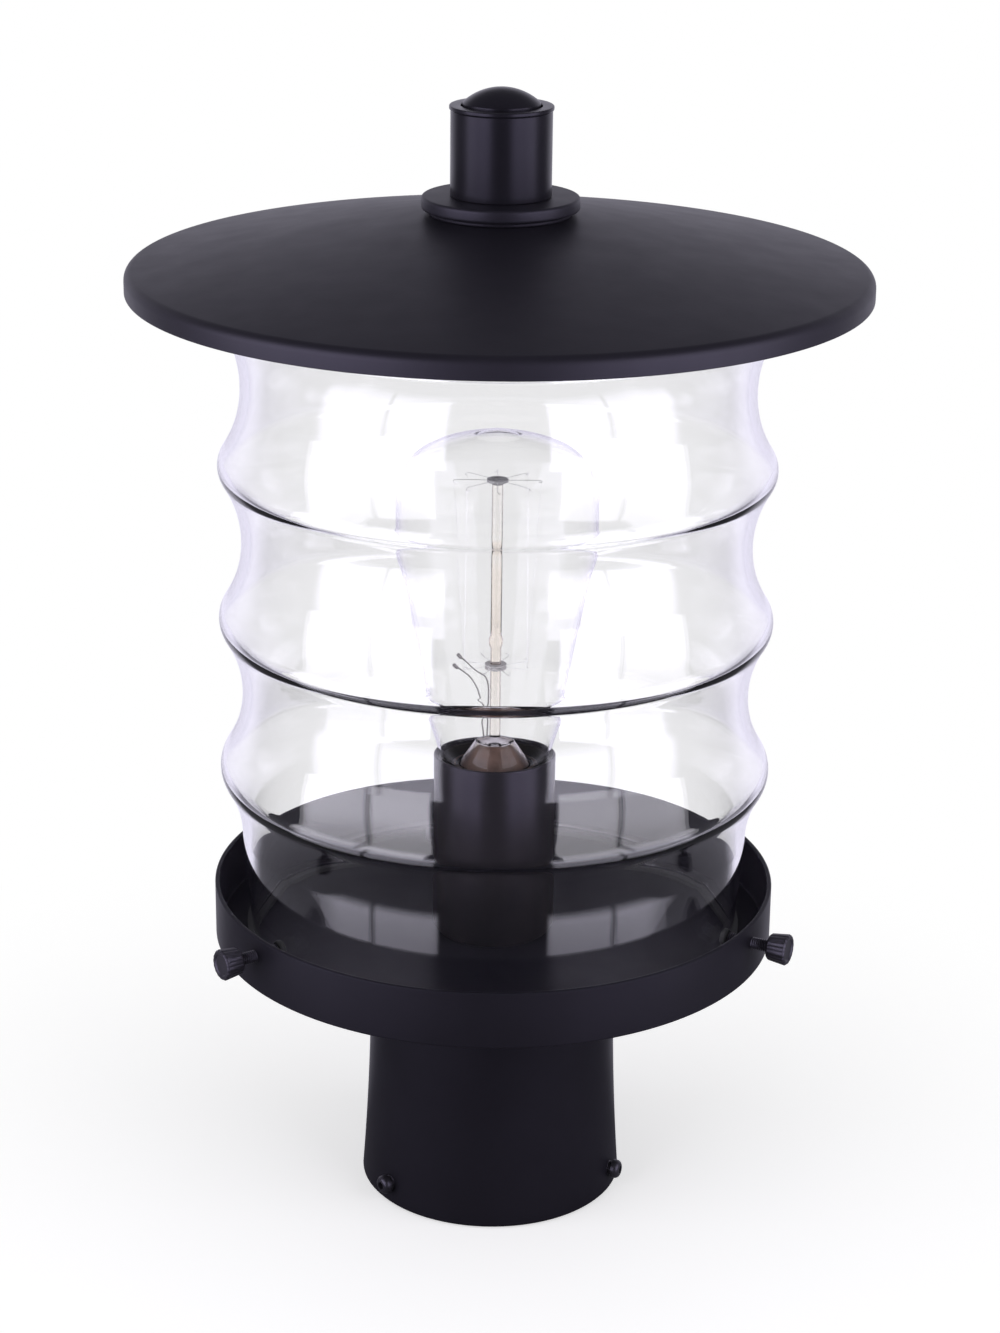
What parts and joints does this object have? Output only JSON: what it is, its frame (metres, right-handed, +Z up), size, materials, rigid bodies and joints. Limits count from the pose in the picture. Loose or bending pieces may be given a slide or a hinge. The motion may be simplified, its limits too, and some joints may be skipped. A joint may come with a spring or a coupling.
{
  "type": "post-top lantern",
  "caption": "Post light: tapered fitter sleeve, round pan with thumb screws, clear ribbed glass cylinder over an upright bulb, flat conical roof with a tube finial.",
  "frame": {"origin": "centre of the fitter's bottom rim, where the lantern goes over its post", "axes": "+Z up along the post, the fitter, the glass and the finial; the front of the picture looks along -Y, +X is to its right"},
  "size_m": [0.2282, 0.2282, 0.3632],
  "materials": {
    "fitter_metal": "matte black powder coat on cast aluminium",
    "pan_metal": "matte black powder coat",
    "roof_metal": "matte black powder coat",
    "sleeve_metal": "satin black",
    "socket_black": "satin black",
    "black_screw": "satin black",
    "phenolic": "black phenolic",
    "rubber": "matte",
    "nylon": "matte",
    "green_screw": "green",
    "zinc_steel": "zinc plated",
    "brass": "aged brass",
    "shade_glass": "clear, slightly smoky at the edges",
    "bulb_glass": "clear",
    "stem_glass": "clear with an amber tint",
    "grey_metal": "dull grey",
    "support_wire": "bright fine wire",
    "lead_wire": "dark wire",
    "base_insulator": "black glass insulator"
  },
  "bodies": {
    "stand": {"post_fitter": "fitter_metal", "shade_pan": "pan_metal", "seat_gasket": "rubber", "ground_screw": "green_screw", "threaded_nipple": "zinc_steel", "wire_grommet": "nylon", "lower_lock_washer": "zinc_steel", "lower_lock_nut": "zinc_steel", "upper_lock_washer": "zinc_steel", "upper_lock_nut": "zinc_steel", "socket_cover": "socket_black", "cover_screw": "black_screw", "socket_body": "phenolic", "socket_shell": "brass", "socket_contact": "brass", "front_terminal_screw": "brass", "back_terminal_screw": "brass"},
    "shade": {"glass_shade": "shade_glass", "glass_bush": "rubber", "inner_gasket": "rubber", "inner_washer": "zinc_steel", "inner_nut": "zinc_steel", "outer_gasket": "rubber", "roof_spacer": "zinc_steel", "roof_cap": "roof_metal", "flange_disc": "roof_metal", "finial_sleeve": "sleeve_metal", "cap_rod": "zinc_steel"},
    "bulb": {"bulb_glass": "bulb_glass", "bulb_stem": "stem_glass", "bulb_button": "grey_metal", "bulb_collar": "grey_metal", "bulb_upper_supports": "support_wire", "bulb_lower_supports": "support_wire", "bulb_filament": "support_wire", "bulb_lead_wire_1": "lead_wire", "bulb_lead_wire_2": "lead_wire", "bulb_base_shell": "brass", "bulb_base_insulator": "base_insulator", "bulb_base_contact": "grey_metal"},
    "dome_washer": {"dome_washer": "zinc_steel"},
    "dome_nut": {"dome_nut": "sleeve_metal"},
    "set_screw_1": {"set_screw_1": "black_screw"},
    "thumb_tip_1": {"thumb_screw_tip_1": "rubber"},
    "thumb_screw_1": {"thumb_screw_1": "black_screw"},
    "set_screw_2": {"set_screw_2": "black_screw"},
    "thumb_tip_2": {"thumb_screw_tip_2": "rubber"},
    "thumb_screw_2": {"thumb_screw_2": "black_screw"},
    "set_screw_3": {"set_screw_3": "black_screw"},
    "thumb_tip_3": {"thumb_screw_tip_3": "rubber"},
    "thumb_screw_3": {"thumb_screw_3": "black_screw"}
  },
  "joints": [
    {"name": "shade_lift", "type": "slide", "parent": "stand", "child": "shade", "axis": [0, 0, 1], "range_m": [0, 0.2]},
    {"name": "bulb_unscrew", "type": "slide", "parent": "stand", "child": "bulb", "axis": [0, 0, 1], "range_m": [0, 0.028]},
    {"name": "dome_nut_travel", "type": "slide", "parent": "shade", "child": "dome_washer", "axis": [0, 0, 1], "range_m": [0, 0.0055]},
    {"name": "dome_nut_turn", "type": "hinge", "parent": "dome_washer", "child": "dome_nut", "pos_m": [0, 0, 0.3533], "axis": [0, 0, 1], "range_deg": [0, 1985]},
    {"name": "set_screw_1_drive", "type": "slide", "parent": "stand", "child": "set_screw_1", "axis": [-0.7771, -0.6293, 0], "range_m": [-0.0005, 0.004]},
    {"name": "thumb_screw_1_travel", "type": "slide", "parent": "stand", "child": "thumb_tip_1", "axis": [-0.8192, -0.5736, 0], "range_m": [0, 0.0045]},
    {"name": "thumb_screw_1_turn", "type": "hinge", "parent": "thumb_tip_1", "child": "thumb_screw_1", "pos_m": [-0.06758, -0.04732, 0.101], "axis": [-0.8192, -0.5736, 0], "range_deg": [0, 2320]},
    {"name": "set_screw_2_drive", "type": "slide", "parent": "stand", "child": "set_screw_2", "axis": [0.9336, -0.3584, 0], "range_m": [-0.0005, 0.004]},
    {"name": "thumb_screw_2_travel", "type": "slide", "parent": "stand", "child": "thumb_tip_2", "axis": [0.9063, -0.4226, 0], "range_m": [0, 0.0045]},
    {"name": "thumb_screw_2_turn", "type": "hinge", "parent": "thumb_tip_2", "child": "thumb_screw_2", "pos_m": [0.07477, -0.03487, 0.101], "axis": [0.9063, -0.4226, 0], "range_deg": [0, 2320]},
    {"name": "set_screw_3_drive", "type": "slide", "parent": "stand", "child": "set_screw_3", "axis": [-0.1564, 0.9877, 0], "range_m": [-0.0005, 0.004]},
    {"name": "thumb_screw_3_travel", "type": "slide", "parent": "stand", "child": "thumb_tip_3", "axis": [-0.0872, 0.9962, 0], "range_m": [0, 0.0045]},
    {"name": "thumb_screw_3_turn", "type": "hinge", "parent": "thumb_tip_3", "child": "thumb_screw_3", "pos_m": [-0.00719, 0.08219, 0.101], "axis": [-0.0872, 0.9962, 0], "range_deg": [0, 2320]}
  ],
  "couplings": [
    {"joint": "dome_nut_turn", "follows": "dome_nut_travel", "rad_per_m": 6283.2},
    {"joint": "thumb_screw_1_turn", "follows": "thumb_screw_1_travel", "rad_per_m": 8976},
    {"joint": "thumb_screw_2_turn", "follows": "thumb_screw_2_travel", "rad_per_m": 8976},
    {"joint": "thumb_screw_3_turn", "follows": "thumb_screw_3_travel", "rad_per_m": 8976}
  ]
}
